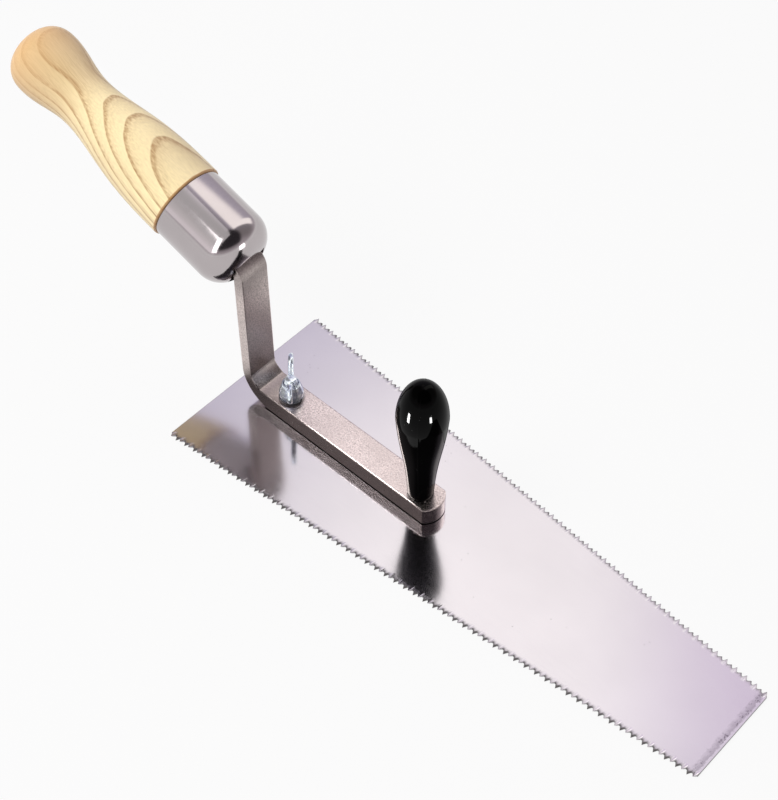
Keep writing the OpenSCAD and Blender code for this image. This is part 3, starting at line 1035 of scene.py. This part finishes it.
class SAW_OT_knob(bpy.types.Operator):
    """Builds the gloss knob, a tapered stem under an egg-shaped top with a fine mould line, and gives its
    insert a finish
    """

    bl_idname = "saw.knob"
    bl_label = "Front knob"

    def execute(self, context):
        sizes = context.scene.saw_sizes
        finishes = context.scene.saw_finishes
        belly, base, bore = sizes.knob_diameter / 2, sizes.knob_base / 2, sizes.insert_diameter / 2
        share = np.linspace(0, 1, STEM_ROWS)
        slim = share ** STEM_SLIMNESS
        stem_r = base + (belly - base) * (slim - STEM_EASE * np.sin(TURN * slim) / TURN)
        stem_h = sizes.knob_belly * share
        stem_r[0] -= FOOT_ROUND
        stem_h[1] = FOOT_ROUND
        turn = np.linspace(0, QUARTER, HEAD_ROWS)[1:]
        head_h = sizes.knob_belly + (knob_high.z - knob_low.z - sizes.knob_belly) * np.sin(turn)
        radius = stacked(0, bore, bore, stem_r, belly * np.cos(turn))
        height = stacked(sizes.insert_depth, sizes.insert_depth, 0, stem_h, head_h)
        fine = MOULD_LINE + np.linspace(-1, 1, MOULD_LINE_STEPS) * MOULD_LINE_ANGLE
        angles = np.unique(np.concatenate([even_angles(KNOB_COLUMNS), fine % TURN, (fine + math.pi) % TURN]))
        # The mould line is a low ridge on two opposite sides, a raised cosine across its angle. It leaves out
        # the hole, the rounded foot and the top
        off = np.abs((angles - MOULD_LINE + QUARTER) % math.pi - QUARTER)
        ridge = MOULD_LINE_RISE * (1 + np.cos(math.pi * np.clip(off / MOULD_LINE_ANGLE, 0, 1))) / 2
        ridged = np.ones((len(radius), 1))
        ridged[:KNOB_PLAIN_ROWS] = ridged[-1] = 0
        points = turned(radius[:, None] + ridged * ridge, height, angles)
        points += [(knob_low.x + knob_high.x) / 2, 0, knob_low.z]
        piece = new_piece("gloss_knob", points, quad_faces(len(radius), len(angles)), sharp=50)
        dress(piece, knob_finish(finishes), "knob", "knob", "black_phenolic")
        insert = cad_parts["knob_insert"]
        insert.data.materials[0] = plated_finish("machined_brass", finishes.brass, 0.28)
        return {"FINISHED"}


def thread_radius(height, angles, sizes):
    """Radius of a right-hand thread: a flattened triangle wave of height / pitch less the share of a turn."""
    phase = (height[:, None] / sizes.thread_pitch - angles / TURN) % 1
    wave = np.clip(THREAD_SLOPE * np.abs(2 * phase - 1) - THREAD_ROOT, 0, 1)
    return sizes.stud_diameter / 2 - sizes.thread_depth * (1 - wave)


class SAW_OT_studs(bpy.types.Operator):
    """Builds the two studs: a flush head in the blade, a rolled thread and a rounded end"""

    bl_idname = "saw.studs"
    bl_label = "Studs"

    def execute(self, context):
        sizes = context.scene.saw_sizes
        material = zinc_finish(context.scene.saw_finishes)
        angles = even_angles(STUD_COLUMNS)
        head, head_top = sizes.stud_head / 2, blade_high.z
        root = sizes.stud_diameter / 2 - sizes.thread_depth
        turn = np.linspace(0, QUARTER, TIP_ROWS)[1:]
        head_r = stacked(0, head - HEAD_EDGE, head, head)
        for node, (low, high) in STUD_BOXES.items():
            tip = high.z - STUD_TIP
            shank = np.linspace(head_top, tip, int((tip - head_top) / sizes.thread_pitch * THREAD_ROWS))
            # The end is a low dome that starts at the thread's root
            fading = np.clip((tip - shank) / (2 * STUD_TIP), 0, 1)[:, None]
            thread = np.minimum(thread_radius(shank, angles, sizes), root + sizes.thread_depth * fading)
            plain, dome = (row[:, None] * np.ones_like(angles) for row in (head_r, root * np.cos(turn)))
            radius = np.concatenate([plain, thread, dome])
            height = stacked(0, 0, HEAD_EDGE, head_top, shank, tip + STUD_TIP * np.sin(turn))
            points = turned(radius, height, angles) + [(low.x + high.x) / 2, 0, 0]
            piece = new_piece("threaded_" + node, points, quad_faces(len(radius), len(angles)), sharp=60)
            dress(piece, material, SAW_BODY, node, "zinc_plate")
        return {"FINISHED"}


class SAW_OT_washer(bpy.types.Operator):
    """Builds the split spring washer: a rounded rectangle carried round the stud, cut on the slant"""

    bl_idname = "saw.washer"
    bl_label = "Lock washer"

    def execute(self, context):
        sizes = context.scene.saw_sizes
        outside = (washer_high.y - washer_low.y) / 2
        inside = sizes.stud_diameter / 2 + WASHER_ROOM
        half = (washer_high.z - washer_low.z) / 2
        middle = (outside + inside) / 2
        gap = sizes.washer_split / 2 / middle
        u_side, v_side, u_inset, v_inset = edge_loop(EDGE_STEPS)
        rise = u_side * (half - WASHER_EDGE * u_inset)
        across = v_side * ((outside - inside) / 2 - WASHER_EDGE * v_inset)
        turn = np.linspace(gap, TURN - gap, WASHER_ROWS)
        turn = stacked(turn[0], turn, turn[-1])[:, None]
        # The first and the last row shrink to a point, which closes the two ends
        fill = np.ones_like(turn)
        fill[[0, -1]] = 0
        radius = middle + across * fill
        angle = turn + WASHER_SLANT * rise * fill
        points = np.stack([radius * np.cos(angle), radius * np.sin(angle), half + rise * fill], axis=-1)
        points += [(washer_low.x + washer_high.x) / 2, 0, washer_low.z]
        piece = new_piece("split_washer", points, quad_faces(len(turn), len(rise)), sharp=35)
        material = plated_finish("plain_spring_steel", context.scene.saw_finishes.spring, 0.26)
        dress(piece, material, "wing_nut_carriage", "lock_washer", "spring_steel")
        return {"FINISHED"}


def wing_plate(sizes, side):
    """One wing as a pillow round its middle: the outline drawn in, then a half-round rim, on both faces.

    The outline is the taut band round a small circle on the hub and a large one at the tip, seen along the
    plate: an arc of each circle, between the angles where the band leaves it."""
    tip = np.array([sizes.wing_span / 2 - sizes.wing_tip, nut_high.z - nut_low.z - sizes.wing_tip])
    root = np.array([WING_ROOT, (sizes.collar_height + sizes.hub_height) / 2 + WING_ROOT_RISE])
    lean = math.atan2(tip[1] - root[1], tip[0] - root[0])
    leave = math.acos((WING_ROOT_RADIUS - sizes.wing_tip) / np.linalg.norm(tip - root))
    outline = np.concatenate([
        circle_points(tip, sizes.wing_tip, lean + np.linspace(-leave, leave, WING_STEPS)),
        circle_points(root, WING_ROOT_RADIUS, lean + np.linspace(leave, TURN - leave, WING_STEPS)),
    ])
    centre = (tip + root) / 2
    half = sizes.wing_thickness / 2
    bow = np.linspace(-QUARTER, QUARTER, WING_BOW_STEPS)
    away = outline - centre
    drawn = 1 - half * (1 - np.cos(bow))[:, None, None] / np.linalg.norm(away, axis=1, keepdims=True)
    middle = np.zeros((1, len(outline), 1))
    flat = centre + np.concatenate([middle, drawn, middle]) * away
    # A wing thins towards its tip
    thinning = 1 + WING_THICKENING * (1 - flat[..., 0] / (sizes.wing_span / 2))
    cross = stacked(-half, half * np.sin(bow), half)[:, None] * thinning
    points = np.stack([side * flat[..., 0], side * cross, flat[..., 1]], axis=-1)
    return points.reshape(-1, 3), quad_faces(len(flat), len(outline))


class SAW_OT_wing_nut(bpy.types.Operator):
    """Builds the cast wing nut: a turned hub and two pillow-shaped wings, melted into one skin"""

    bl_idname = "saw.wing_nut"
    bl_label = "Wing nut"

    def execute(self, context):
        sizes = context.scene.saw_sizes
        angles = even_angles(NUT_COLUMNS)
        base, crown = sizes.hub_base / 2, sizes.hub_top / 2
        bore = sizes.stud_diameter / 2 + NUT_ROOM
        top = sizes.hub_height
        radius = stacked(bore, base - NUT_EDGE, base, base, crown, crown - NUT_EDGE, bore)
        height = stacked(0, 0, NUT_EDGE, sizes.collar_height, top - NUT_EDGE, top, top)
        hub = turned(radius, height, angles).reshape(-1, 3)
        parts = [(hub, quad_faces(len(radius), len(angles), wrap_rows=True))]
        parts += [wing_plate(sizes, side) for side in (1, -1)]
        points = np.concatenate([part[0] for part in parts])
        starts = np.cumsum([0] + [len(part[0]) for part in parts[:-1]])
        faces = np.concatenate([part[1] + start for part, start in zip(parts, starts)])
        turn = np.array(Matrix.Rotation(sizes.wing_turn, 3, "Z"))
        points = points @ turn.T + [(rear_stud_low.x + rear_stud_high.x) / 2, 0, nut_low.z]
        piece = new_piece("cast_wing_nut", points, faces)
        melt = piece.modifiers.new("melt", "REMESH")
        melt.mode = "VOXEL"
        melt.voxel_size = NUT_VOXEL
        piece.modifiers.new("soften", "SMOOTH").iterations = NUT_SOFTENING
        graph = context.evaluated_depsgraph_get()
        skin = bpy.data.meshes.new_from_object(piece.evaluated_get(graph))
        piece.modifiers.clear()
        piece.data = skin
        shade(skin, sharp=60)
        skin.materials.clear()
        dress(piece, zinc_finish(context.scene.saw_finishes), "wing_nut", "wing_nut", "zinc_plate")
        return {"FINISHED"}


def direction(azimuth, elevation):
    """Unit vector at an azimuth from +X and an elevation, both in degrees."""
    a, e = math.radians(azimuth), math.radians(elevation)
    return Vector((math.cos(a) * math.cos(e), math.sin(a) * math.cos(e), math.sin(e)))


def window_lamp(name, target, azimuth, elevation, distance, width, height, radiance, only):
    """A rectangular lamp that faces the target. Its power is radiance times pi times its area.

    A lamp with only shows in that finish alone, and any other is a soft fill that no reflection shows."""
    light = bpy.data.lights.new(name, "AREA")
    light.shape = "RECTANGLE"
    light.size, light.size_y = width, height
    light.energy = radiance * math.pi * width * height
    lamp = linked(name, light)
    back = direction(azimuth, elevation)
    lamp.location = Vector(target) + back * distance
    lamp.rotation_euler = back.to_track_quat("Z", "Y").to_euler()
    lamp.visible_camera = False
    lamp.visible_glossy = only is not None
    if only is not None:
        shown = bpy.data.collections.get(only) or bpy.data.collections.new(only)
        lamp.light_linking.receiver_collection = shown


def build_floor(stage):
    """A wide plane, pale by its own light for the camera and a first reflection, under a soft shadow."""
    half = FLOOR_HALF
    corners = ((-half, -half), (half, -half), (half, half), (-half, half))
    mesh = bpy.data.meshes.new("floor")
    mesh.from_pydata([(x, y, FLOOR_HEIGHT) for x, y in corners], [], [(0, 1, 2, 3)])
    floor = linked("floor", mesh)
    material = bpy.data.materials.new("pale_floor")
    tree = empty_tree(material)
    matte = add(tree, "BsdfDiffuse", {"Color": (*stage.floor, 1)}).outputs[0]
    glow = add(tree, "Emission", {"Color": (1, 1, 1, 1), "Strength": 1}).outputs[0]
    path = add(tree, "LightPath").outputs
    # A second reflection shows the floor as the lamps light it
    first = maths("LESS_THAN", path["Glossy Depth"], FIRST_REFLECTION)
    seen = maths("MAXIMUM", path["Is Camera Ray"], times(path["Is Glossy Ray"], first))
    seen = maths("MAXIMUM", seen, path["Is Transmission Ray"])
    lit = add(tree, "MixShader", {0: times(seen, GLOW_SHARE), 1: matte, 2: glow}).outputs[0]
    # From below the floor is clear, so that the sole can be seen
    under = add(tree, "NewGeometry").outputs["Backfacing"]
    clear = add(tree, "BsdfTransparent").outputs[0]
    shown = add(tree, "MixShader", {0: under, 1: lit, 2: clear}).outputs[0]
    add(tree, "OutputMaterial", {0: shown})
    mesh.materials.append(material)


def build_room(scene, stage):
    """A soft room: a bright softbox across from the camera, shade behind it, pale past the floor."""
    scene.world = bpy.data.worlds.new("soft_room")
    tree = empty_tree(scene.world)
    look = add(tree, "TexCoord").outputs["Generated"]
    part = axes(look)
    aloft = spread(part[2], ALOFT)
    levels = {"softbox": stage.softbox_strength}
    colour = stage.room
    for name, azimuth, elevation, wide, narrow, strength, high_only in LOBES:
        inputs = {0: look, 1: direction(azimuth, elevation)}
        toward = add(tree, "VectorMath", inputs, operation="DOT_PRODUCT").outputs["Value"]
        borders = [math.cos(math.radians(angle)) for angle in (wide, narrow)]
        share = times(spread(toward, borders, interpolation_type="SMOOTHSTEP"), strength)
        if high_only:
            share = times(share, aloft)
        colour = mixed(share, colour, scaled(getattr(stage, name), levels.get(name, 1), most=math.inf))
    # A strip of softboxes overhead, from the zenith down to the far side
    aside = maths("ABSOLUTE", maths("SUBTRACT", part[0], STRIP_MIDDLE))
    across, along, upward = (
        spread(value, borders) for value, borders in zip((aside, part[1], part[2]), STRIP_BORDERS)
    )
    strip = scaled(stage.softbox, stage.strip_strength, most=math.inf)
    colour = mixed(times(times(across, along), upward), colour, strip)
    colour = mixed(add(tree, "LightPath").outputs["Is Camera Ray"], colour, stage.backdrop)
    back = add(tree, "Background", {"Color": colour, "Strength": 1}).outputs[0]
    add(tree, "OutputWorld", {0: back})


def place_camera(scene, stage):
    """The photograph's camera: its place, its line of sight and an upright picture."""
    data = bpy.data.cameras.new("camera")
    data.sensor_width = SENSOR_WIDTH
    data.lens = stage.lens
    scene.camera = linked("camera", data)
    sight = Vector(CAMERA_SIGHT).normalized()
    right = sight.cross(Vector((0, 0, 1))).normalized()
    turn = Matrix((right, right.cross(sight), -sight)).transposed()
    scene.camera.matrix_world = Matrix.Translation(CAMERA_PLACE) @ turn.to_4x4()


class SAW_OT_stage(bpy.types.Operator):
    """Builds the pale floor, the soft room, the lamps and the camera"""

    bl_idname = "saw.stage"
    bl_label = "Stage"

    def execute(self, context):
        scene = context.scene
        scene.view_settings.view_transform = "Standard"
        build_floor(scene.saw_stage)
        build_room(scene, scene.saw_stage)
        rim, basis = handle_frame(scene.saw_sizes)
        targets = {
            "saw": (0, 0, 0),
            "knob": (knob_low + knob_high) / 2 + Vector((0, 0, KNOB_TARGET_RISE)),
            "dome": rim - DOME_TARGET_SHARE * scene.saw_sizes.ferrule_length * basis[2],
            "nut": (nut_low + nut_high) / 2,
        }
        for name, target, *settings in LAMPS:
            window_lamp(name, targets[target], *settings)
        place_camera(scene, scene.saw_stage)
        return {"FINISHED"}


class SAW_PT_panel(bpy.types.Panel):
    """Lists the saw's pieces and its sizes in the sidebar"""

    bl_label = "Undercut saw"
    bl_idname = "SAW_PT_panel"
    bl_space_type = "VIEW_3D"
    bl_region_type = "UI"
    bl_category = "Saw"

    def draw(self, context):
        for operator in OPERATORS:
            self.layout.operator(operator.bl_idname)
        for group in (context.scene.saw_sizes, context.scene.saw_finishes, context.scene.saw_stage):
            box = self.layout.box()
            for name in group.__annotations__:
                box.prop(group, name)


OPERATORS = (
    SAW_OT_stage, SAW_OT_blade, SAW_OT_arm, SAW_OT_ferrule, SAW_OT_grip,
    SAW_OT_knob, SAW_OT_studs, SAW_OT_washer, SAW_OT_wing_nut,
)
GROUPS = {"saw_sizes": SawSizes, "saw_finishes": SawFinishes, "saw_stage": SawStage}


def register():
    """Registers the groups, the operators and the panel."""
    for name, group in GROUPS.items():
        bpy.utils.register_class(group)
        setattr(bpy.types.Scene, name, PointerProperty(type=group))
    for cls in (*OPERATORS, SAW_PT_panel):
        bpy.utils.register_class(cls)


def unregister():
    """Takes back what register does, in the opposite order."""
    for cls in (SAW_PT_panel, *reversed(OPERATORS)):
        bpy.utils.unregister_class(cls)
    for name, group in reversed(GROUPS.items()):
        delattr(bpy.types.Scene, name)
        bpy.utils.unregister_class(group)


def main():
    """Builds every piece."""
    register()
    bpy.ops.saw.stage()
    bpy.ops.saw.blade()
    bpy.ops.saw.arm()
    bpy.ops.saw.ferrule()
    bpy.ops.saw.grip()
    bpy.ops.saw.knob()
    bpy.ops.saw.studs()
    bpy.ops.saw.washer()
    bpy.ops.saw.wing_nut()


if __name__ == "__main__":
    main()
